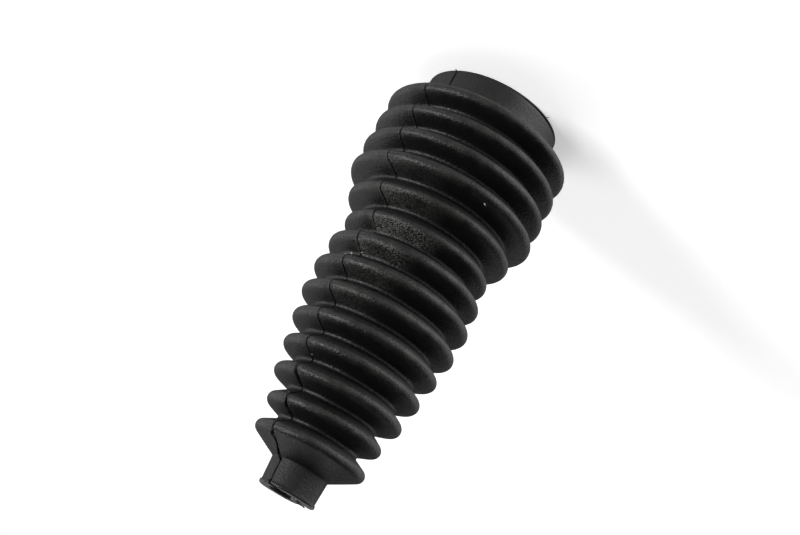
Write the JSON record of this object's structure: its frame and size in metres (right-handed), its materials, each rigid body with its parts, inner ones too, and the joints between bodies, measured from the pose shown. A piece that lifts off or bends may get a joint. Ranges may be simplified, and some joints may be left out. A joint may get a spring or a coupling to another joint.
{
  "type": "rubber bellows boot",
  "caption": "Tapered moulded rubber bellows boot that seals a sliding rod, with a large collar for a band clamp and a small collar with a bead.",
  "frame": {"origin": "centre of the large mouth, in the plane of its rim", "axes": "+Z along the boot's axis from the large mouth to the small one; the mould parted on the plane y = 0"},
  "size_m": [0.0732, 0.0732, 0.162],
  "materials": {
    "rubber": "moulded black rubber, matt flanks with a satin sheen on the crests"
  },
  "bodies": {
    "root": {"bellows_boot": "rubber"}
  },
  "joints": []
}
